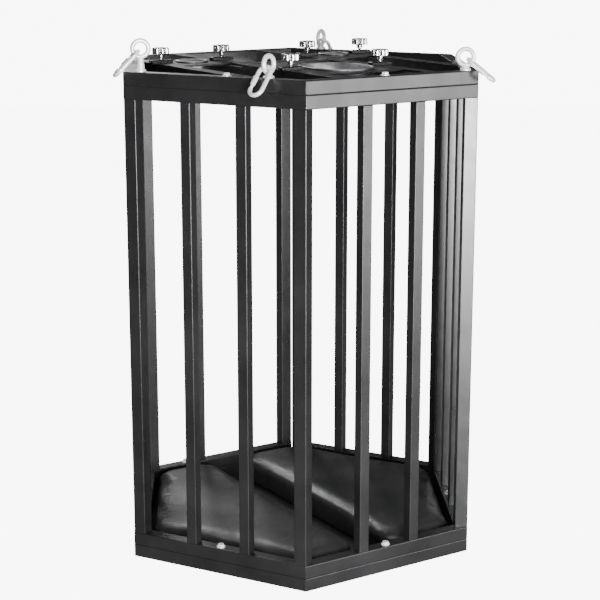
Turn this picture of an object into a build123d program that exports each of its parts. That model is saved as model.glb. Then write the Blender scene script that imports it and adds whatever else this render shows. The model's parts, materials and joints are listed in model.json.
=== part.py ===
"""Free-standing hexagonal barred steel cage with a split-collar lid, a hinged door and two floor cushions.

Millimetres, +Z up. The origin is the centre of the hexagonal base, on the surface that the cage stands on.
One corner points to -Y, and two sides lie square to the X axis.
"""

import os
from math import cos, radians, sin, sqrt, tan

from build123d import *

# Frame
SIDE = 450.0  # outer side of the hexagon
TUBE = 30.0  # square tube of the rails and posts
BAR = 25.0  # square tube of the bars
WALL = 2.0  # tube wall
EDGE_RADIUS = 2.0  # rounded long edge of every tube
HEIGHT = 1125.0  # floor to the top of the lid
APOTHEM = SIDE * sqrt(3) / 2
INNER_APOTHEM = APOTHEM - TUBE
INNER_RADIUS = INNER_APOTHEM / cos(radians(30))
PANEL_FOOT = TUBE  # underside of the bottom panel rails
PANEL_HEAD = HEIGHT - TUBE  # upper side of the top panel rails
POST_FOOT = PANEL_FOOT + TUBE
POST_HEAD = PANEL_HEAD - TUBE
BAR_SPACING = 138.0  # between the two bars of a side
PANEL_ANGLES = {"front_left": 240, "front_right": 300, "right": 0, "rear_left": 120, "left": 180}
DOOR_ANGLE = 60

# Door: stiles run the full height, and the rails stand between them
DOOR_GAP = 2.0  # above and below the door leaf
DOOR_FOOT = PANEL_FOOT + DOOR_GAP
DOOR_HEAD = PANEL_HEAD - DOOR_GAP
DOOR_RAIL_HEIGHT = 28.0
DOOR_FREE_GAP = 18.5  # free end of the door, from the rear corner
DOOR_HINGE_END = -SIDE / 2
DOOR_FREE_END = SIDE / 2 - DOOR_FREE_GAP
HINGE_POST_GAP = 28.0  # right panel's last post, from its corner
HINGE_RADIUS = 5.0
HINGE_PIN_RADIUS = 2.5
HINGE_CLEARANCE = 0.4
HINGE_KNUCKLE = 28.0
HINGE_HEIGHTS = (220.0, 880.0)

# Door bolt
BOLT_RADIUS = 5.0
BOLT_FOOT = TUBE + 4  # lower end of the drawn bolt
BOLT_LENGTH = 128.0
BOLT_STAND_OFF = 9.0  # bolt axis, from the door's outer face
HOUSING_FOOT = 70.0
HOUSING_HEIGHT = 70.0
HOUSING_WIDTH = 18.0
HOUSING_CLEARANCE = 0.1
SLOT_FOOT = HOUSING_FOOT + 22
SLOT_HEIGHT = 34.0
SLOT_WIDTH = 8.0
HANDLE_LENGTH = 24.0
HANDLE_RADIUS = 3.0
HANDLE_BALL = 6.0
KEEPER_FOOT = 22.0
KEEPER_WIDTH = 22.0
KEEPER_THICKNESS = 6.0
KEEPER_CLEARANCE = 0.4

# Lid
LID_ANGLE = 30  # the lid's own X axis, along the front right side
MEMBER_CENTRES = (-282.0, -122.0, 118.0, 272.0)
CROSSBAR_PLACE = 45.0
SMALL_COLLAR_PLACE = 142.0
LARGE_COLLAR_PLACE = -165.0
SMALL_COLLAR_RADIUS = 30.0
LARGE_COLLAR_RADIUS = 68.0
SMALL_COLLAR_LEG = 3.0  # straight part of a half ring, before the parting line
LARGE_COLLAR_LEG = 20.0
SMALL_PLATE = 75.0  # length of a half plate
LARGE_PLATE = 115.0
RIM_WALL = 4.0
RIM_TOP = HEIGHT + 4.0
RIM_DEPTH = 24.0
RIM_LIP_WIDTH = 2.5
RIM_LIP_THICKNESS = 3.0
RIM_LIP_RADIUS = 1.2
PLATE_THICKNESS = 4.0
PLATE_CORNER = 6.0
PLATE_TOP = HEIGHT - 0.5
PLATE_CLEARANCE = 0.4
PARTING_GAP = 1.0
SMALL_TRAVEL = 60.0  # how far the sliding half of a collar opens
LARGE_TRAVEL = 75.0
LEDGE_WIDTH = 10.0
LEDGE_THICKNESS = 3.0
CLAMP_SIZE = (54.0, 18.0, 8.0)
SCREW_RADIUS = 4.0
SCREW_CLEARANCE = 0.05
KNOB_RADIUS = 20.0
KNOB_BOTTOM = 21.0  # above the lid
KNOB_THICKNESS = 15.0
KNOB_LOBES = 7
KNOB_LOBE_RADIUS = 5.6
KNOB_HUB_RADIUS = 7.0
KNOB_HUB_FOOT = 13.0  # above the lid
NUT_THICKNESS = 7.0
SCREW_TAIL = 3.0  # how far a screw passes through its nut

# Lifting eyes and carabiners
EYE_TUBE = 5.0
EYE_RADIUS = 17.5
EYE_LOW = 29.0  # height of the ring's centre above the lid
EYE_HIGH = 50.0
EYE_COLLAR_HEIGHT = 5.0
EYE_COLLAR_RADIUS = 12.0
EYE_NECK_FOOT = 9.0  # radius of the neck at the collar
EYE_NECK_HEAD = 6.0  # radius of the neck at the ring
EYE_SHANK = 14.0
HOOK_ROD = 4.5
HOOK_HALF_WIDTH = 15.0
HOOK_START = 22.7  # ring centre to the centre of the carabiner's upper bend
HOOK_END = 65.2
NOSE = 28.0
GATE_PIVOT = 60.0
GATE_ROD = 3.5
SLEEVE_ROD = 5.5
SLEEVE_START = 5.0  # from the gate's free end
SLEEVE_LENGTH = 20.0
GATE_CLEARANCE = 0.5
LEFT_EYE_OFFSET = 37.0  # from the corner, along the rail
RIGHT_EYE_OFFSET = 26.0
RAIL_EYE_OFFSET = 96.0

# Fasteners between the lid, the panels and the base
SIDE_BOLT_RADIUS = 4.0
LID_BOLT_PLACES = {"front_left": 28.0, "front_right": -17.0, "right": 0.0, "rear_left": 0.0, "left": 0.0}
BASE_BOLT_PLACES = {"front_left": 0.0, "front_right": 0.0, "right": 0.0, "rear_left": 112.0, "left": 0.0}
BOLT_HEAD_RADIUS = 7.5
BOLT_HEAD_HEIGHT = 5.5
WASHER_RADIUS = 10.0
WASHER_THICKNESS = 1.6

# Floor and cushions
FLOOR_BOTTOM = 0.0
FLOOR_THICKNESS = 2.0
CUSHION_CLEARANCE = 6.0
CUSHION_LIFT = 0.3  # clear of the floor sheet
CUSHION_TOP = 80.0
CUSHION_CORNER = 55.0
CUSHION_EDGE = 18.0
FRONT_CUSHION_EDGE = -50.0
REAR_CUSHION_EDGE = 25.0


def side_plane(angle, z):
    """Horizontal plane centred on the cage: X runs along the side that faces angle, Y points inwards."""
    turn = radians(angle)
    return Plane(origin=(0, 0, z), x_dir=(-sin(turn), cos(turn), 0), z_dir=(0, 0, 1))


def lid_plane(z):
    """Horizontal plane in the lid's own directions: Y runs along the lid's members."""
    turn = radians(LID_ANGLE)
    return Plane(origin=(0, 0, z), x_dir=(cos(turn), sin(turn), 0), z_dir=(0, 0, 1))


def write_node(node, name):
    """Label one node and write its STEP file."""
    node.label = name
    export_step(node, f"parts/{name}.step")


def group(pieces):
    """Keep touching pieces side by side as separate solids of one node."""
    return Compound([solid for piece in pieces for solid in piece.solids()])


def mitred_tube(angle, bottom, bolt_place=None, bolt_through=True, shank_places=()):
    """One rail of a ring: a square tube with both ends mitred at the hexagon's corners."""
    long_half = SIDE / 2
    short_half = long_half - TUBE * tan(radians(30))
    with BuildPart() as rail:
        with BuildSketch(side_plane(angle, bottom)):
            with BuildLine():
                Polyline(
                    (-long_half, -APOTHEM),
                    (long_half, -APOTHEM),
                    (short_half, -INNER_APOTHEM),
                    (-short_half, -INNER_APOTHEM),
                    close=True,
                )
            make_face()
        extrude(amount=TUBE)
        fillet([edge for edge in rail.edges() if edge.length > SIDE / 2], EDGE_RADIUS)
        with BuildSketch(side_plane(angle, bottom + WALL)):
            with Locations((0, -APOTHEM + TUBE / 2)):
                Rectangle(SIDE, TUBE - 2 * WALL)
        extrude(amount=TUBE - 2 * WALL, mode=Mode.SUBTRACT)
        if bolt_place is not None:
            with BuildSketch(side_plane(angle, bottom + TUBE)):
                with Locations((bolt_place, -APOTHEM + TUBE / 2)):
                    Circle(SIDE_BOLT_RADIUS + SCREW_CLEARANCE)
            extrude(amount=-(TUBE if bolt_through else WALL), mode=Mode.SUBTRACT)
        if shank_places:
            with BuildSketch(Plane.XY.offset(bottom + TUBE)):
                with Locations(shank_places):
                    Circle(EYE_TUBE + SCREW_CLEARANCE)
            extrude(amount=-WALL, mode=Mode.SUBTRACT)
    return rail.part


def square_tube(angle, place, size, bottom, top):
    """An upright square tube, flush with the outer face of the side, whose middle is at place along it."""
    with BuildPart() as upright:
        with BuildSketch(side_plane(angle, bottom)) as outline:
            with Locations((place, -APOTHEM + size / 2)):
                Rectangle(size, size)
            fillet(outline.vertices(), EDGE_RADIUS)
            with Locations((place, -APOTHEM + size / 2)):
                Rectangle(size - 2 * WALL, size - 2 * WALL, mode=Mode.SUBTRACT)
        extrude(amount=top - bottom)
    return upright.part


def square_tubes(angle, places, size, bottom, top):
    """Several upright tubes of one side, as separate solids."""
    return group([square_tube(angle, place, size, bottom, top) for place in places])


def side_bars(angle, bottom, top):
    """The two bars of one side."""
    return square_tubes(angle, (-BAR_SPACING / 2, BAR_SPACING / 2), BAR, bottom, top)


def make_ring(name, bottom, bolt_places, bolt_through, shank_places=()):
    """A hexagonal ring of six mitred tubes, drilled for each fixed panel's bolt and for any eye shanks."""
    rails = [mitred_tube(DOOR_ANGLE, bottom, shank_places=shank_places)]
    for panel, angle in PANEL_ANGLES.items():
        rails.append(mitred_tube(angle, bottom, bolt_places[panel], bolt_through, shank_places))
    write_node(group(rails), name)


def panel_rails(panel, angle):
    """A panel's bottom rail, drilled through for the base bolt, and its top rail, drilled for the lid bolt."""
    lower = mitred_tube(angle, PANEL_FOOT, BASE_BOLT_PLACES[panel], True)
    upper = mitred_tube(angle, POST_HEAD, LID_BOLT_PLACES[panel], False)
    return lower, upper


def beyond(angle, end):
    """The space past end along one side, over the cage's full height."""
    with BuildPart() as space:
        with BuildSketch(side_plane(angle, 0)):
            with Locations((end + SIDE / 2, -APOTHEM + TUBE / 2)):
                Rectangle(SIDE, 3 * TUBE)
        extrude(amount=HEIGHT)
    return space.part


def make_panels():
    """The five fixed panels: rails top and bottom, posts where the panel has them, and two bars each."""
    near = -SIDE / 2 + TUBE / 2
    far = SIDE / 2 - TUBE / 2
    hinge_post = SIDE / 2 - HINGE_POST_GAP - TUBE / 2
    rear_post = -SIDE / 2 + TUBE * tan(radians(30)) + TUBE / 2
    posts = {"front_left": (near, far), "right": (near, hinge_post), "rear_left": (rear_post, far)}
    for panel, angle in PANEL_ANGLES.items():
        rails = panel_rails(panel, angle)
        if panel == "right":
            space = beyond(angle, SIDE / 2 - HINGE_POST_GAP)
            rails = [rail - space for rail in rails]
        write_node(group(rails), f"{panel}_rails")
        write_node(side_bars(angle, POST_FOOT, POST_HEAD), f"{panel}_bars")
        if panel in posts:
            tubes = square_tubes(angle, posts[panel], TUBE, POST_FOOT, POST_HEAD)
            write_node(tubes, f"{panel}_posts")


def door_rail(bottom):
    """A horizontal tube of the door, from stile to stile."""
    start = DOOR_HINGE_END + TUBE
    end = DOOR_FREE_END - TUBE
    with BuildPart() as rail:
        with BuildSketch(side_plane(DOOR_ANGLE, bottom)):
            with Locations(((start + end) / 2, -APOTHEM + TUBE / 2)):
                Rectangle(end - start, TUBE)
        extrude(amount=DOOR_RAIL_HEIGHT)
        fillet([edge for edge in rail.edges() if edge.length > SIDE / 2], EDGE_RADIUS)
        with BuildSketch(side_plane(DOOR_ANGLE, bottom + WALL)):
            with Locations(((start + end) / 2, -APOTHEM + TUBE / 2)):
                Rectangle(end - start, TUBE - 2 * WALL)
        extrude(amount=DOOR_RAIL_HEIGHT - 2 * WALL, mode=Mode.SUBTRACT)
    return rail.part


def make_door():
    """The door leaf in the rear right side."""
    upper = DOOR_HEAD - DOOR_RAIL_HEIGHT
    lower = DOOR_FOOT + DOOR_RAIL_HEIGHT
    stiles = (DOOR_HINGE_END + TUBE / 2, DOOR_FREE_END - TUBE / 2)
    write_node(group([door_rail(DOOR_FOOT), door_rail(upper)]), "door_rails")
    write_node(square_tubes(DOOR_ANGLE, stiles, TUBE, DOOR_FOOT, DOOR_HEAD), "door_stiles")
    write_node(side_bars(DOOR_ANGLE, lower, upper), "door_bars")


def hinge_axis():
    """Plan position of the hinge line, in the notch between the door's stile and the right panel's post."""
    corner = Vector(APOTHEM, SIDE / 2)
    turn = radians(DOOR_ANGLE)
    inwards = Vector(-cos(turn), -sin(turn))
    along = Vector(sin(turn), -cos(turn))
    stand_off = HINGE_RADIUS + HINGE_CLEARANCE
    depth = (HINGE_RADIUS + stand_off * along.X) / -inwards.X
    return corner + along * stand_off + inwards * depth


def knuckle(bottom, web_angle, web_length, bore):
    """A hinge knuckle with the web that welds it to its tube."""
    axis = hinge_axis()
    turn = radians(web_angle)
    with BuildPart() as body:
        with BuildSketch(Plane.XY.offset(bottom)):
            with Locations((axis.X, axis.Y)):
                Circle(HINGE_RADIUS)
            with Locations((axis.X + cos(turn) * web_length / 2, axis.Y + sin(turn) * web_length / 2)):
                Rectangle(web_length, HINGE_RADIUS, rotation=web_angle)
            if bore:
                with Locations((axis.X, axis.Y)):
                    Circle(HINGE_PIN_RADIUS + SCREW_CLEARANCE, mode=Mode.SUBTRACT)
        extrude(amount=HINGE_KNUCKLE)
        if not bore:
            with BuildSketch(Plane.XY.offset(bottom + HINGE_KNUCKLE)):
                with Locations((axis.X, axis.Y)):
                    Circle(HINGE_PIN_RADIUS)
            extrude(amount=HINGE_KNUCKLE + 2)
    return body.part


def make_hinges():
    """Two lift-off hinges: a pin knuckle on the right panel's post under a bored knuckle on the door."""
    post_face = SIDE / 2 - HINGE_POST_GAP
    to_post = hinge_axis().Y - post_face
    to_door = HINGE_RADIUS + HINGE_CLEARANCE
    step = HINGE_KNUCKLE + HINGE_CLEARANCE
    write_node(group([knuckle(z, 270, to_post, False) for z in HINGE_HEIGHTS]), "hinge_pins")
    write_node(
        group([knuckle(z + step, DOOR_ANGLE + 90, to_door, True) for z in HINGE_HEIGHTS]), "hinge_sockets"
    )


def make_door_bolt():
    """The drop bolt on the door's free stile, its housing, and the keeper on the base ring."""
    place = DOOR_FREE_END - TUBE / 2
    axis = (place, -APOTHEM - BOLT_STAND_OFF)
    with BuildPart() as housing:
        with BuildSketch(side_plane(DOOR_ANGLE, HOUSING_FOOT)):
            with Locations(axis):
                Rectangle(HOUSING_WIDTH, 2 * BOLT_STAND_OFF)
                Circle(BOLT_RADIUS + HOUSING_CLEARANCE, mode=Mode.SUBTRACT)
        extrude(amount=HOUSING_HEIGHT)
        with BuildSketch(side_plane(DOOR_ANGLE, SLOT_FOOT)):
            with Locations((place, axis[1] - BOLT_STAND_OFF)):
                Rectangle(SLOT_WIDTH, 2 * BOLT_STAND_OFF)
        extrude(amount=SLOT_HEIGHT, mode=Mode.SUBTRACT)
    write_node(housing.part, "door_bolt_housing")

    handle_plane = side_plane(DOOR_ANGLE, SLOT_FOOT + SLOT_HEIGHT - HANDLE_RADIUS - 2)
    handle_root = handle_plane.from_local_coords(Vector(place, axis[1], 0))
    handle_tip = handle_plane.from_local_coords(Vector(place, axis[1] - HANDLE_LENGTH, 0))
    with BuildPart() as bolt:
        with BuildSketch(side_plane(DOOR_ANGLE, BOLT_FOOT)):
            with Locations(axis):
                Circle(BOLT_RADIUS)
        extrude(amount=BOLT_LENGTH)
        with BuildSketch(Plane(handle_root, z_dir=-handle_plane.y_dir)):
            Circle(HANDLE_RADIUS)
        extrude(amount=HANDLE_LENGTH)
        with Locations(handle_tip):
            Sphere(HANDLE_BALL)
    write_node(bolt.part, "door_bolt")

    with BuildPart() as keeper:
        with BuildSketch(side_plane(DOOR_ANGLE, KEEPER_FOOT)):
            with Locations(axis):
                Rectangle(KEEPER_WIDTH, 2 * BOLT_STAND_OFF)
                Circle(BOLT_RADIUS + KEEPER_CLEARANCE, mode=Mode.SUBTRACT)
        extrude(amount=KEEPER_THICKNESS)
    write_node(keeper.part, "door_bolt_keeper")


def lid_member(centre):
    """One tube of the lid, cut to the inner faces of the lid's ring."""
    with BuildPart() as member:
        with BuildSketch(lid_plane(PANEL_HEAD)):
            RegularPolygon(INNER_RADIUS, 6)
            with Locations((centre, 0)):
                Rectangle(TUBE, SIDE * 2, mode=Mode.INTERSECT)
        extrude(amount=TUBE)
        with BuildSketch(lid_plane(PANEL_HEAD + WALL)):
            with Locations((centre, 0)):
                Rectangle(TUBE - 2 * WALL, SIDE * 2)
        extrude(amount=TUBE - 2 * WALL, mode=Mode.SUBTRACT)
        with BuildSketch(lid_plane(HEIGHT)):
            with Locations([(centre, place) for u, place in screw_places() if u == centre]):
                Circle(SCREW_RADIUS + SCREW_CLEARANCE)
        extrude(amount=-WALL, mode=Mode.SUBTRACT)
    return member.part


def screw_places():
    """Plan positions of the six knob screws, in the lid's own directions."""
    first, second, third, fourth = MEMBER_CENTRES
    small = [(u, SMALL_COLLAR_PLACE) for u in (first, second, third, fourth)]
    large = [(u, LARGE_COLLAR_PLACE) for u in (second, third)]
    return small + large


def make_lid_frame():
    """The lid's members, the crossbar, the ledges that carry the collar plates, and the clamp bars."""
    second, third = MEMBER_CENTRES[1:3]
    span = third - second - TUBE
    with BuildPart() as crossbar:
        with BuildSketch(lid_plane(PANEL_HEAD)):
            with Locations(((second + third) / 2, CROSSBAR_PLACE)):
                Rectangle(span, TUBE)
        extrude(amount=TUBE)
        with BuildSketch(lid_plane(PANEL_HEAD + WALL)):
            with Locations(((second + third) / 2, CROSSBAR_PLACE)):
                Rectangle(span, TUBE - 2 * WALL)
        extrude(amount=TUBE - 2 * WALL, mode=Mode.SUBTRACT)
    members = [lid_member(centre) for centre in MEMBER_CENTRES]
    write_node(group(members + [crossbar.part]), "lid_members")

    top = PLATE_TOP - PLATE_THICKNESS - PLATE_CLEARANCE
    with BuildPart() as ledges:
        with BuildSketch(lid_plane(top)):
            for left, right, place, half, travel in bays():
                length = 2 * half + travel
                middle = place - travel / 2
                with Locations((left + LEDGE_WIDTH / 2, middle), (right - LEDGE_WIDTH / 2, middle)):
                    Rectangle(LEDGE_WIDTH, length)
        extrude(amount=-LEDGE_THICKNESS)
    write_node(group([ledges.part]), "collar_ledges")

    with BuildPart() as clamps:
        with BuildSketch(lid_plane(HEIGHT)):
            with Locations(screw_places()):
                Rectangle(CLAMP_SIZE[0], CLAMP_SIZE[1])
                Circle(SCREW_RADIUS + SCREW_CLEARANCE, mode=Mode.SUBTRACT)
        extrude(amount=CLAMP_SIZE[2])
        chamfer(clamps.faces().sort_by(Axis.Z)[-6:].edges().filter_by(GeomType.LINE), 1.5)
    write_node(group([clamps.part]), "clamp_bars")

    with BuildPart() as nuts:
        with BuildSketch(lid_plane(HEIGHT - WALL)):
            with Locations(screw_places()):
                RegularPolygon(BOLT_HEAD_RADIUS, 6)
                Circle(SCREW_RADIUS + SCREW_CLEARANCE, mode=Mode.SUBTRACT)
        extrude(amount=-NUT_THICKNESS)
    write_node(group([nuts.part]), "weld_nuts")


def bays():
    """The three bays between the members: left edge, right edge, collar place, half length, travel."""
    first, second, third, fourth = MEMBER_CENTRES
    half = TUBE / 2
    return (
        (first + half, second - half, SMALL_COLLAR_PLACE, SMALL_PLATE, SMALL_TRAVEL),
        (third + half, fourth - half, SMALL_COLLAR_PLACE, SMALL_PLATE, SMALL_TRAVEL),
        (second + half, third - half, LARGE_COLLAR_PLACE, LARGE_PLATE, LARGE_TRAVEL),
    )


def half_plate(bay, radius, leg, direction):
    """One half of a collar's plate, with its half of the opening."""
    left, right, place, length, _ = bay
    middle = (left + right) / 2
    width = right - left - 2 * PLATE_CLEARANCE
    near = PARTING_GAP / 2
    lid_axis = Axis((0, 0, 0), tuple(lid_plane(0).y_dir))
    with BuildPart() as plate:
        with BuildSketch(lid_plane(PLATE_TOP)) as outline:
            with Locations((middle, place + direction * (near + (length - near) / 2))):
                Rectangle(width, length - near)
            corners = outline.vertices().sort_by(lid_axis)
            fillet(corners[-2:] if direction > 0 else corners[:2], PLATE_CORNER)
            with Locations((middle, place + direction * leg)):
                Circle(radius + RIM_WALL, mode=Mode.SUBTRACT)
            with Locations((middle, place + direction * leg / 2)):
                Rectangle(2 * (radius + RIM_WALL), leg + PARTING_GAP, mode=Mode.SUBTRACT)
        extrude(amount=-PLATE_THICKNESS)
    return plate.part


def half_rim(bay, radius, leg, direction):
    """The half ring that lines one half of a collar's opening, with a small turned-out lip."""
    left, right, place, _, _ = bay
    middle = (left + right) / 2
    near = PARTING_GAP / 2
    keep = 4 * radius
    with BuildPart() as rim:
        for depth, wall in ((RIM_DEPTH, RIM_WALL), (RIM_LIP_THICKNESS, RIM_WALL + RIM_LIP_WIDTH)):
            with BuildSketch(lid_plane(RIM_TOP - depth)):
                with Locations((middle, place + direction * leg)):
                    Circle(radius + wall)
                with Locations((middle, place + direction * leg / 2)):
                    Rectangle(2 * (radius + wall), leg)
                with Locations((middle, place + direction * (near + keep / 2))):
                    Rectangle(keep, keep, mode=Mode.INTERSECT)
                with Locations((middle, place + direction * leg)):
                    Circle(radius, mode=Mode.SUBTRACT)
                with Locations((middle, place + direction * leg / 2)):
                    Rectangle(2 * radius, leg + PARTING_GAP, mode=Mode.SUBTRACT)
            extrude(amount=depth)
        fillet(rim.faces().sort_by(Axis.Z)[-1].edges(), RIM_LIP_RADIUS)
    return rim.part


def make_collars():
    """Three split collars: the rear halves are fixed, and the front halves slide open."""
    names = ("left", "rear", "front")
    sizes = (
        (SMALL_COLLAR_RADIUS, SMALL_COLLAR_LEG),
        (SMALL_COLLAR_RADIUS, SMALL_COLLAR_LEG),
        (LARGE_COLLAR_RADIUS, LARGE_COLLAR_LEG),
    )
    fixed_plates = []
    fixed_rims = []
    for name, bay, (radius, leg) in zip(names, bays(), sizes):
        fixed_plates.append(half_plate(bay, radius, leg, 1))
        fixed_rims.append(half_rim(bay, radius, leg, 1))
        write_node(half_plate(bay, radius, leg, -1), f"{name}_collar_plate")
        write_node(half_rim(bay, radius, leg, -1), f"{name}_collar_rim")
    write_node(group(fixed_plates), "fixed_collar_plates")
    write_node(group(fixed_rims), "fixed_collar_rims")


def make_knobs():
    """Six star knobs on their screws."""
    screw_foot = HEIGHT - WALL - NUT_THICKNESS - SCREW_TAIL
    for number, (u, v) in enumerate(screw_places(), 1):
        knob_bottom = HEIGHT + KNOB_BOTTOM
        with BuildPart() as knob:
            with BuildSketch(lid_plane(knob_bottom)):
                with Locations((u, v)):
                    Circle(KNOB_RADIUS - KNOB_LOBE_RADIUS)
                    with PolarLocations(KNOB_RADIUS - KNOB_LOBE_RADIUS, KNOB_LOBES):
                        Circle(KNOB_LOBE_RADIUS)
            extrude(amount=KNOB_THICKNESS)
            fillet(knob.faces().sort_by(Axis.Z)[-1].edges(), 2)
            fillet(knob.faces().sort_by(Axis.Z)[0].edges(), 1.5)
            with BuildSketch(lid_plane(HEIGHT + KNOB_HUB_FOOT)):
                with Locations((u, v)):
                    Circle(KNOB_HUB_RADIUS)
            extrude(amount=KNOB_BOTTOM - KNOB_HUB_FOOT)
            with BuildSketch(lid_plane(screw_foot)):
                with Locations((u, v)):
                    Circle(SCREW_RADIUS)
            extrude(amount=HEIGHT + KNOB_BOTTOM - screw_foot)
        write_node(knob.part, f"star_knob_{number}")


def rail_point(angle, place):
    """Plan position of a point on the middle line of the lid's rail that faces angle."""
    point = side_plane(angle, HEIGHT).from_local_coords(Vector(place, -APOTHEM + TUBE / 2, 0))
    return (point.X, point.Y)


def eye_places():
    """Name, plan position, ring height, turn and downward lean (degrees) of each eye and its carabiner."""
    half = SIDE / 2
    front_left = PANEL_ANGLES["front_left"]
    front_right = PANEL_ANGLES["front_right"]
    return (
        ("left", rail_point(front_left, LEFT_EYE_OFFSET - half), EYE_HIGH, 190, 45),
        ("front", rail_point(front_left, half - RAIL_EYE_OFFSET), EYE_LOW, 232, 48),
        ("right", rail_point(front_right, half - RIGHT_EYE_OFFSET), EYE_LOW, -12, 39),
        ("rear", rail_point(DOOR_ANGLE, half - RAIL_EYE_OFFSET), EYE_LOW, 60, 51),
    )


def make_eye(name, place, height, turn):
    """A lifting eye: a ring on a short neck with a round collar and a screwed shank."""
    upright = Plane(origin=(place[0], place[1], HEIGHT), x_dir=(cos(turn), sin(turn), 0), z_dir=(0, 0, 1))
    with BuildPart() as eye:
        with BuildSketch(upright):
            Circle(EYE_COLLAR_RADIUS)
        extrude(amount=EYE_COLLAR_HEIGHT)
        fillet(eye.edges().group_by(Axis.Z)[-1], 1.5)
        with BuildSketch(upright.offset(EYE_COLLAR_HEIGHT)):
            Circle(EYE_NECK_FOOT)
        with BuildSketch(upright.offset(height - EYE_RADIUS)):
            Circle(EYE_NECK_HEAD)
        loft()
        ring_plane = Plane(origin=(place[0], place[1], HEIGHT + height), z_dir=(-sin(turn), cos(turn), 0))
        with Locations(ring_plane):
            Torus(EYE_RADIUS, EYE_TUBE)
        with BuildSketch(upright):
            Circle(EYE_TUBE)
        extrude(amount=-EYE_SHANK)
    write_node(eye.part, f"{name}_lifting_eye")


def hook_plane(place, height, turn, lean):
    """The carabiner's plane: X runs from the ring's centre along the carabiner, Y is the ring's axis."""
    along = Vector(cos(turn) * cos(lean), sin(turn) * cos(lean), -sin(lean))
    ring_axis = Vector(-sin(turn), cos(turn), 0)
    return Plane(origin=(place[0], place[1], HEIGHT + height), x_dir=along, z_dir=along.cross(ring_axis))


def make_carabiner(name, plane):
    """A bent-rod carabiner through the eye, and its gate."""
    reach = HOOK_HALF_WIDTH
    body_end = GATE_PIVOT + GATE_ROD + GATE_CLEARANCE
    with BuildPart() as hook:
        with BuildLine(plane) as path:
            Line((NOSE, -reach), (HOOK_START, -reach))
            ThreePointArc((HOOK_START, -reach), (HOOK_START - reach, 0), (HOOK_START, reach))
            Line((HOOK_START, reach), (HOOK_END, reach))
            ThreePointArc((HOOK_END, reach), (HOOK_END + reach, 0), (HOOK_END, -reach))
            Line((HOOK_END, -reach), (body_end, -reach))
        with BuildSketch(Plane(origin=path.line @ 0, z_dir=path.line % 0)):
            Circle(HOOK_ROD)
        sweep(path=path.line)
    write_node(hook.part, f"{name}_carabiner")

    gate_start = NOSE + GATE_CLEARANCE
    pivot = plane.from_local_coords(Vector(GATE_PIVOT, -reach, 0))
    nose = plane.from_local_coords(Vector(gate_start, -reach, 0))
    sleeve = plane.from_local_coords(Vector(gate_start + SLEEVE_START, -reach, 0))
    with BuildPart() as gate:
        with BuildSketch(Plane(origin=nose, z_dir=plane.x_dir)):
            Circle(GATE_ROD)
        extrude(amount=GATE_PIVOT - gate_start)
        with Locations(pivot):
            Sphere(GATE_ROD)
        with BuildSketch(Plane(origin=sleeve, z_dir=plane.x_dir)):
            Circle(SLEEVE_ROD)
        extrude(amount=SLEEVE_LENGTH)
    write_node(gate.part, f"{name}_carabiner_gate")


def make_lifting_gear():
    """Four lifting eyes, each with its carabiner."""
    for name, place, height, turn, lean in eye_places():
        make_eye(name, place, height, radians(turn))
        make_carabiner(name, hook_plane(place, height, radians(turn), radians(lean)))


def bolt_set(panel):
    """Plan place, head seat and nut height of a panel's two bolts: lid to top rail, bottom rail to base."""
    middle = -APOTHEM + TUBE / 2
    lid_bolt = ((LID_BOLT_PLACES[panel], middle), HEIGHT, PANEL_HEAD - WALL)
    base_bolt = ((BASE_BOLT_PLACES[panel], middle), POST_FOOT, PANEL_FOOT - WALL)
    return lid_bolt, base_bolt


def make_side_bolts():
    """Hexagon bolts that hold the lid, the panels and the base together, with washers and hidden nuts."""
    bolts = []
    plain = []
    for panel, angle in PANEL_ANGLES.items():
        for place, seat, nut_top in bolt_set(panel):
            foot = nut_top - NUT_THICKNESS - SCREW_TAIL
            with BuildPart() as bolt:
                with BuildSketch(side_plane(angle, seat + WASHER_THICKNESS)):
                    with Locations(place):
                        RegularPolygon(BOLT_HEAD_RADIUS, 6)
                extrude(amount=BOLT_HEAD_HEIGHT)
                chamfer(bolt.edges().group_by(Axis.Z)[-1], 0.8)
                with BuildSketch(side_plane(angle, foot)):
                    with Locations(place):
                        Circle(SIDE_BOLT_RADIUS)
                extrude(amount=seat + WASHER_THICKNESS - foot)
            with BuildPart() as washer:
                with BuildSketch(side_plane(angle, seat)):
                    with Locations(place):
                        Circle(WASHER_RADIUS)
                        Circle(SIDE_BOLT_RADIUS + SCREW_CLEARANCE, mode=Mode.SUBTRACT)
                extrude(amount=WASHER_THICKNESS)
            with BuildPart() as nut:
                with BuildSketch(side_plane(angle, nut_top)):
                    with Locations(place):
                        RegularPolygon(BOLT_HEAD_RADIUS, 6)
                        Circle(SIDE_BOLT_RADIUS + SCREW_CLEARANCE, mode=Mode.SUBTRACT)
                extrude(amount=-NUT_THICKNESS)
            bolts.append(bolt.part)
            plain += [washer.part, nut.part]
    write_node(group(bolts), "side_bolts")
    write_node(group(plain), "washers_and_nuts")


def make_cushion(name, edge, direction):
    """Half a hexagon of upholstered foam, from its straight edge outwards."""
    apothem = INNER_APOTHEM - CUSHION_CLEARANCE
    corner = apothem / cos(radians(30))
    bottom = FLOOR_BOTTOM + FLOOR_THICKNESS + CUSHION_LIFT
    with BuildPart() as cushion:
        with BuildSketch(lid_plane(bottom)) as outline:
            RegularPolygon(corner, 6)
            with Locations((edge + direction * SIDE, 0)):
                Rectangle(SIDE * 2, SIDE * 4, mode=Mode.INTERSECT)
            fillet(outline.vertices(), CUSHION_CORNER)
        extrude(amount=CUSHION_TOP - bottom)
        fillet(cushion.faces().sort_by(Axis.Z)[-1].edges(), CUSHION_EDGE)
    write_node(cushion.part, name)


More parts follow.
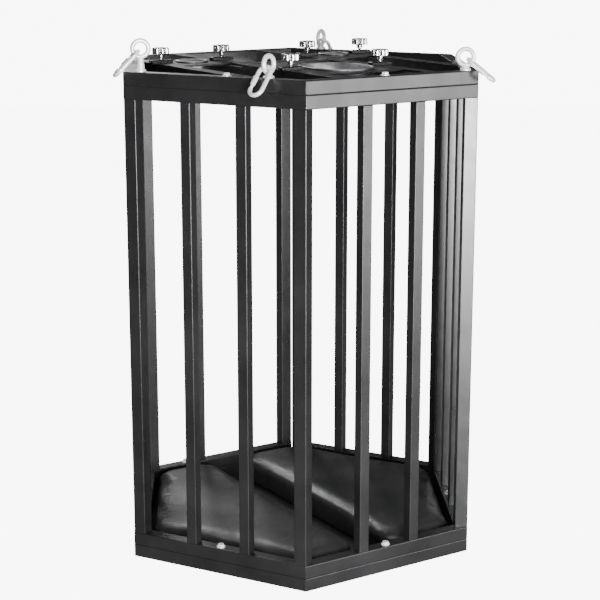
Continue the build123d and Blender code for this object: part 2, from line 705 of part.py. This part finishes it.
def make_floor():
    """The steel floor sheet inside the base ring, and the two cushions on it."""
    with BuildPart() as sheet:
        with BuildSketch(lid_plane(FLOOR_BOTTOM)):
            RegularPolygon(INNER_RADIUS, 6)
        extrude(amount=FLOOR_THICKNESS)
    write_node(sheet.part, "floor_sheet")
    make_cushion("front_cushion", FRONT_CUSHION_EDGE, -1)
    make_cushion("rear_cushion", REAR_CUSHION_EDGE, 1)


os.makedirs("parts", exist_ok=True)
make_ring("base_rails", 0, BASE_BOLT_PLACES, False)
make_ring("lid_rails", PANEL_HEAD, LID_BOLT_PLACES, True, [place for _, place, _, _, _ in eye_places()])
make_panels()
make_door()
make_hinges()
make_door_bolt()
make_lid_frame()
make_collars()
make_knobs()
make_lifting_gear()
make_side_bolts()
make_floor()
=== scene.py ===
"""Looks for the hexagonal barred cage: powder-coated tube, plated fittings and two leatherette cushions."""

import json
from math import pi

import bpy
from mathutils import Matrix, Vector, noise


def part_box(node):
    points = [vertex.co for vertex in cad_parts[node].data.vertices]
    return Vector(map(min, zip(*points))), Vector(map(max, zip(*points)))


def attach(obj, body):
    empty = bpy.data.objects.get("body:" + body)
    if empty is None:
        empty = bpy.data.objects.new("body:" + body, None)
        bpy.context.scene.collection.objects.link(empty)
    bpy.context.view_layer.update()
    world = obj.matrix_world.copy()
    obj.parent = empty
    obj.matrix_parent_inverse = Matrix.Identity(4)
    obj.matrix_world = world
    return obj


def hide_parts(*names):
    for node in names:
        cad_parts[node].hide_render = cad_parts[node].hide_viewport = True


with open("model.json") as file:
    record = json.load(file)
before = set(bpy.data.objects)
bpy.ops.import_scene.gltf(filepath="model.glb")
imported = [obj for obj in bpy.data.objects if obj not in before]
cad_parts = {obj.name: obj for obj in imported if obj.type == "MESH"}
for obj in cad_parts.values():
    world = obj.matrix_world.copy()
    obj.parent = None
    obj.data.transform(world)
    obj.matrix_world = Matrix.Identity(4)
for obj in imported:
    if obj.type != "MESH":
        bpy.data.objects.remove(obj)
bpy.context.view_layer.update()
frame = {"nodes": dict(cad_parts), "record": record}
NODES = frame["nodes"]

WHITE = (1, 1, 1, 1)

# Camera, in metres and radians
CAMERA_PLACE = (-0.151, -3.7582, 1.445)
CAMERA_DOWN = 0.2317  # below the horizon
CAMERA_TURN = -0.0417
CAMERA_LENS = 96.5
SENSOR_WIDTH = 36

# Studio: how bright the world and the floor look, and how bright the world is in reflections
WORLD_SEEN = 8.5
WORLD_FELT = 0.09
FLOOR_SEEN = 8.1
FLOOR_REACH = 9.0
FLOOR_GREY = 0.3
FLOOR_ROUGHNESS = 0.9

# Softboxes: place, the point each one faces, size in metres, power in watts
SOFTBOXES = {
    "right": ((3.4, -2.1, 0.75), (0, 0, 0.75), (1.8, 1.5), 95),
    "front": ((1.2, -5.2, 0.6), (0.3, 0, 0.6), (1.9, 1.2), 620),
    "fill": ((-0.6, -4.4, 4.2), (0, 0, 1.0), (1.6, 1.6), 130),
    "rear": ((-1.2, 3.4, 2.9), (0, 0, 0.6), (1.6, 1.6), 80),
}

# Rounded and worn edges, in metres
WEAR_WIDTH = 0.0016
COAT_EDGE = 0.0018
PLATED_EDGE = 0.0008
PEBBLES_PER_METRE = 520

# Cushions, in metres
PAD_VOXEL = 0.007
PAD_INSET = 0.001
SHORTEST = 0.001  # a length that is safe to divide by
PAD_HEIGHT = 0.72  # of the space the frame leaves for it, before it swells
PAD_PRESSURE = 4.0
PAD_TENSION = 12
PAD_BENDING = 0.6
PAD_FRAMES = 20
PAD_CAP = 0.008  # the furthest that the cloth may move a point
PAD_CROWN = 0.0048  # how much higher the middle is than the sides
PAD_WAVE = 0.003
WAVES_PER_METRE = 7
PAD_BULGE = 0.004  # how far the sides swell out
BULGE_START = 0.6  # the part of the way out at which the swelling starts
BULGE_RUN = 0.4  # the part of the way over which it grows
BULGE_SPREAD = 2.2  # greater than 2, so that the widest place is a little below half height


# ---------------------------------------------------------------- camera, light and floor


def add_camera():
    """A long lens a little above the lid, looking slightly down."""
    data = bpy.data.cameras.new("camera")
    data.lens = CAMERA_LENS
    data.sensor_width = SENSOR_WIDTH
    camera = bpy.data.objects.new("camera", data)
    camera.location = CAMERA_PLACE
    camera.rotation_euler = (pi / 2 - CAMERA_DOWN, 0, CAMERA_TURN)
    bpy.context.collection.objects.link(camera)
    bpy.context.scene.camera = camera


def add_area_light(name, place, target, size, power):
    """A rectangular softbox that faces a point."""
    data = bpy.data.lights.new(name, "AREA")
    data.shape = "RECTANGLE"
    data.size, data.size_y = size
    data.energy = power
    lamp = bpy.data.objects.new(name, data)
    lamp.location = place
    lamp.rotation_euler = (Vector(target) - Vector(place)).to_track_quat("-Z", "Y").to_euler()
    bpy.context.collection.objects.link(lamp)


def add_world():
    """A white studio seen directly, and a dimmer one in reflections."""
    world = bpy.data.worlds.new("studio")
    bpy.context.scene.world = world
    world.use_nodes = True
    nodes = world.node_tree.nodes
    links = world.node_tree.links
    nodes.clear()
    output = nodes.new("ShaderNodeOutputWorld")
    mix = nodes.new("ShaderNodeMixShader")
    path = nodes.new("ShaderNodeLightPath")
    seen = nodes.new("ShaderNodeBackground")
    felt = nodes.new("ShaderNodeBackground")
    seen.inputs["Color"].default_value = WHITE
    seen.inputs["Strength"].default_value = WORLD_SEEN
    felt.inputs["Color"].default_value = WHITE
    felt.inputs["Strength"].default_value = WORLD_FELT
    links.new(path.outputs["Is Camera Ray"], mix.inputs["Fac"])
    links.new(felt.outputs["Background"], mix.inputs[1])
    links.new(seen.outputs["Background"], mix.inputs[2])
    links.new(mix.outputs["Shader"], output.inputs["Surface"])


def add_floor():
    """A plain pale floor that glows a little, so that it runs into the white studio behind it."""
    mesh = bpy.data.meshes.new("floor")
    corners = [(x * FLOOR_REACH, y * FLOOR_REACH, 0) for x, y in ((-1, -1), (1, -1), (1, 1), (-1, 1))]
    mesh.from_pydata(corners, [], [(0, 1, 2, 3)])
    floor = bpy.data.objects.new("floor", mesh)
    bpy.context.collection.objects.link(floor)
    material, nodes, links, shader = start_material("pale_floor")
    shader.inputs["Base Color"].default_value = (FLOOR_GREY, FLOOR_GREY, FLOOR_GREY, 1)
    shader.inputs["Roughness"].default_value = FLOOR_ROUGHNESS
    shader.inputs["Emission Color"].default_value = WHITE
    seen = nodes.new("ShaderNodeLightPath").outputs["Is Camera Ray"]
    links.new(remap(nodes, links, seen, 0, 1, 0.0, FLOOR_SEEN), shader.inputs["Emission Strength"])
    mesh.materials.append(material)


# ---------------------------------------------------------------- materials


def start_material(name):
    """A new node material, its node makers and its shader."""
    material = bpy.data.materials.new(name)
    material.use_nodes = True
    tree = material.node_tree
    return material, tree.nodes, tree.links, tree.nodes["Principled BSDF"]


def object_coordinates(nodes):
    """The surface's own coordinates, in metres."""
    return nodes.new("ShaderNodeTexCoord").outputs["Object"]


def add_noise(nodes, links, place, scale, detail=4.0, roughness=0.55):
    """A noise value at a scale in waves per metre."""
    node = nodes.new("ShaderNodeTexNoise")
    node.inputs["Scale"].default_value = scale
    node.inputs["Detail"].default_value = detail
    node.inputs["Roughness"].default_value = roughness
    links.new(place, node.inputs["Vector"])
    return node.outputs["Fac"]


def remap(nodes, links, value, low, high, to_low, to_high):
    """A value stretched from one range to another, and held inside it."""
    node = nodes.new("ShaderNodeMapRange")
    for socket, number in zip(("From Min", "From Max", "To Min", "To Max"), (low, high, to_low, to_high)):
        node.inputs[socket].default_value = number
    links.new(value, node.inputs["Value"])
    return node.outputs["Result"]


def multiply(nodes, links, first, second):
    """The product of two values."""
    node = nodes.new("ShaderNodeMath")
    node.operation = "MULTIPLY"
    links.new(first, node.inputs[0])
    links.new(second, node.inputs[1])
    return node.outputs["Value"]


def blend_colours(nodes, links, factor, first, second):
    """A colour between two others."""
    node = nodes.new("ShaderNodeMix")
    node.data_type = "RGBA"
    links.new(factor, node.inputs["Factor"])
    for socket, colour in ((6, first), (7, second)):
        if isinstance(colour, tuple):
            node.inputs[socket].default_value = (*colour, 1)
        else:
            links.new(colour, node.inputs[socket])
    return node.outputs[2]


def edge_mask(nodes, links, width):
    """One on sharp edges and nothing on flat faces, within width of the edge."""
    bevel = nodes.new("ShaderNodeBevel")
    bevel.samples = 6
    bevel.inputs["Radius"].default_value = width
    geometry = nodes.new("ShaderNodeNewGeometry")
    facing = nodes.new("ShaderNodeVectorMath")
    facing.operation = "DOT_PRODUCT"
    links.new(bevel.outputs["Normal"], facing.inputs[0])
    links.new(geometry.outputs["Normal"], facing.inputs[1])
    return remap(nodes, links, facing.outputs["Value"], 0.995, 0.86, 0.0, 1.0)


def add_bump(nodes, links, shader, heights, edge=None):
    """Bump from a list of height, strength and distance, laid over each other and over rounded edges."""
    last = None
    if edge is not None:
        bevel = nodes.new("ShaderNodeBevel")
        bevel.samples = 8
        bevel.inputs["Radius"].default_value = edge
        last = bevel.outputs["Normal"]
    for height, strength, distance in heights:
        bump = nodes.new("ShaderNodeBump")
        bump.inputs["Strength"].default_value = strength
        bump.inputs["Distance"].default_value = distance
        links.new(height, bump.inputs["Height"])
        if last is not None:
            links.new(last, bump.inputs["Normal"])
        last = bump.outputs["Normal"]
    links.new(last, shader.inputs["Normal"])


def powder_coat(name, colour, worn, roughness):
    """Satin powder coat: fine orange peel, faint dust, and a little wear along the edges."""
    material, nodes, links, shader = start_material(name)
    place = object_coordinates(nodes)
    dust = add_noise(nodes, links, place, 7, 6)
    scuffs = add_noise(nodes, links, place, 60, 8, 0.7)
    shine = add_noise(nodes, links, place, 18, 3)
    peel = add_noise(nodes, links, place, 900, 2)
    patches = remap(nodes, links, scuffs, 0.52, 0.7, 0, 0.7)
    wear = multiply(nodes, links, edge_mask(nodes, links, WEAR_WIDTH), patches)
    lighter = tuple(channel * 1.7 + 0.004 for channel in colour)
    coat = blend_colours(nodes, links, remap(nodes, links, dust, 0.35, 0.7, 0, 1), colour, lighter)
    links.new(blend_colours(nodes, links, wear, coat, worn), shader.inputs["Base Color"])
    spread = remap(nodes, links, shine, 0.3, 0.7, roughness - 0.03, roughness + 0.05)
    links.new(spread, shader.inputs["Roughness"])
    shader.inputs["Specular IOR Level"].default_value = 0.62
    add_bump(nodes, links, shader, [(peel, 0.12, 0.0002), (dust, 0.1, 0.001)], COAT_EDGE)
    return material


def plated(name, colour, roughness, metallic, grain):
    """Plated or polished steel with faint handling marks."""
    material, nodes, links, shader = start_material(name)
    place = object_coordinates(nodes)
    smudges = add_noise(nodes, links, place, 90, 5)
    scratches = add_noise(nodes, links, place, grain, 3, 0.6)
    darker = tuple(channel * 0.82 for channel in colour)
    tint = blend_colours(nodes, links, remap(nodes, links, smudges, 0.35, 0.7, 0, 1), colour, darker)
    links.new(tint, shader.inputs["Base Color"])
    shader.inputs["Metallic"].default_value = metallic
    links.new(remap(nodes, links, smudges, 0.3, 0.7, roughness, roughness + 0.12), shader.inputs["Roughness"])
    add_bump(nodes, links, shader, [(scratches, 0.03, 0.0001)], PLATED_EDGE)
    return material


def leatherette(name):
    """Glossy black leatherette: pebble grain, soft creases with painted shade in their valleys and a lighter
    tone on their ridges, and uneven shine.
    """
    material, nodes, links, shader = start_material(name)
    place = object_coordinates(nodes)
    cells = nodes.new("ShaderNodeTexVoronoi")
    cells.feature = "DISTANCE_TO_EDGE"
    cells.inputs["Scale"].default_value = PEBBLES_PER_METRE
    links.new(place, cells.inputs["Vector"])
    pebbles = remap(nodes, links, cells.outputs["Distance"], 0.0, 0.12, 0, 1)
    creases = add_noise(nodes, links, place, 9, 3)
    shine = add_noise(nodes, links, place, 24, 5)
    # Painted shade: the colour is darker in the crease valleys and lighter on the crease ridges, following
    # the crease bump.
    painted_crease_shade = remap(nodes, links, creases, 0.35, 0.7, 0, 1)
    body = blend_colours(nodes, links, painted_crease_shade, (0.012, 0.012, 0.013), (0.022, 0.022, 0.023))
    links.new(body, shader.inputs["Base Color"])
    links.new(remap(nodes, links, shine, 0.3, 0.7, 0.3, 0.42), shader.inputs["Roughness"])
    shader.inputs["Specular IOR Level"].default_value = 0.6
    add_bump(nodes, links, shader, [(pebbles, 0.22, 0.0003), (creases, 0.25, 0.004)])
    return material


def make_materials():
    """One material for each of the record's slots."""
    return {
        "black_paint": powder_coat("black_powder_coat", (0.009, 0.009, 0.0095), (0.12, 0.12, 0.12), 0.3),
        "floor_paint": powder_coat("floor_powder_coat", (0.018, 0.018, 0.019), (0.14, 0.14, 0.14), 0.42),
        "polished_steel": plated("polished_knob_steel", (0.62, 0.62, 0.63), 0.13, 1.0, 300),
        "polished_rim": plated("polished_rim_steel", (0.5, 0.5, 0.51), 0.36, 1.0, 60),
        "zinc": plated("bright_zinc", (0.97, 0.97, 0.97), 0.3, 0.35, 300),
        "bare_steel": plated("dark_clamp_steel", (0.06, 0.06, 0.062), 0.2, 0.9, 300),
        "leatherette": leatherette("black_leatherette"),
    }


def dress_frame(materials):
    """Gives each CAD node the material of its slot."""
    slots = {part["node"]: part["material_slot"] for part in frame["record"]["subparts"]}
    for name, piece in NODES.items():
        for place in piece.material_slots:
            place.material = materials[slots[name]]


# ---------------------------------------------------------------- cushions


def copy_shape(node, name):
    """A new object with a copy of a CAD node's mesh."""
    piece = bpy.data.objects.new(name, NODES[node].data.copy())
    bpy.context.collection.objects.link(piece)
    return piece


def apply_modifiers(piece):
    """Bakes a piece's modifiers into its mesh."""
    bpy.context.view_layer.update()
    shape = bpy.data.meshes.new_from_object(piece.evaluated_get(bpy.context.evaluated_depsgraph_get()))
    piece.modifiers.clear()
    piece.data = shape


def remesh(piece, voxel):
    """Even quads all over, ready for cloth."""
    modifier = piece.modifiers.new("remesh", "REMESH")
    modifier.mode = "VOXEL"
    modifier.voxel_size = voxel
    apply_modifiers(piece)


def inflate(piece):
    """Swells a closed mesh like a stuffed cover, and caps how far a point may move."""
    before = [vertex.co.copy() for vertex in piece.data.vertices]
    cloth = piece.modifiers.new("cloth", "CLOTH")
    cloth.settings.use_pressure = True
    cloth.settings.uniform_pressure_force = PAD_PRESSURE
    cloth.settings.effector_weights.gravity = 0
    cloth.settings.tension_stiffness = PAD_TENSION
    cloth.settings.bending_stiffness = PAD_BENDING
    scene = bpy.context.scene
    for number in range(1, PAD_FRAMES + 1):
        scene.frame_set(number)
    apply_modifiers(piece)
    scene.frame_set(1)
    for vertex, start in zip(piece.data.vertices, before):
        shift = vertex.co - start
        if shift.length > PAD_CAP:
            vertex.co = start + shift * (PAD_CAP / shift.length)


def level_offset(point, middle):
    """The way from a cushion's middle to a point, without its rise."""
    return Vector((point.x - middle.x, point.y - middle.y, 0))


def shape_cushion(piece, low, high, seed):
    """Sides that bulge, a top that is crowned and uneven, and a flat underside."""
    middle = (low + high) / 2
    half = (high - low) / 2
    for vertex in piece.data.vertices:
        point = vertex.co
        across = max(abs(point.x - middle.x) / half.x, abs(point.y - middle.y) / half.y)
        height = (point.z - low.z) / (high.z - low.z)
        wave = noise.noise(Vector((point.x * WAVES_PER_METRE, point.y * WAVES_PER_METRE, seed)))
        rounding = max(0.0, 1 - (BULGE_SPREAD * height - 1) ** 2)
        swell = PAD_BULGE * rounding * max(0.0, across - BULGE_START) / BULGE_RUN
        point += level_offset(point, middle).normalized() * swell
        if height > 0.5:
            point.z += PAD_CROWN * max(0.0, 1 - across ** 2) + PAD_WAVE * wave
        point.z = max(point.z, low.z)


def make_cushion(node, name, material, seed):
    """One half of the floor padding, swollen, crowned and lying flat on the floor sheet."""
    low, high = (Vector(corner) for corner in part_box(node))
    middle = (low + high) / 2
    piece = copy_shape(node, name)
    for vertex in piece.data.vertices:
        flat = level_offset(vertex.co, middle)
        vertex.co.x -= flat.x / max(flat.length, SHORTEST) * PAD_INSET
        vertex.co.y -= flat.y / max(flat.length, SHORTEST) * PAD_INSET
        vertex.co.z = low.z + (vertex.co.z - low.z) * PAD_HEIGHT
    remesh(piece, PAD_VOXEL)
    inflate(piece)
    shape_cushion(piece, low, high, seed)
    smooth = piece.modifiers.new("smooth", "SUBSURF")
    smooth.levels = 1
    smooth.render_levels = 1
    apply_modifiers(piece)
    piece.data.materials.clear()
    piece.data.materials.append(material)
    for polygon in piece.data.polygons:
        polygon.use_smooth = True
    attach(piece, "cage")
    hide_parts(node)


# ---------------------------------------------------------------- scene

add_camera()
add_world()
add_floor()
for softbox, (place, facing, size, power) in SOFTBOXES.items():
    add_area_light(softbox, place, facing, size, power)
MATERIALS = make_materials()
dress_frame(MATERIALS)
make_cushion("front_cushion", "front_pad", MATERIALS["leatherette"], 1.0)
make_cushion("rear_cushion", "rear_pad", MATERIALS["leatherette"], 5.0)
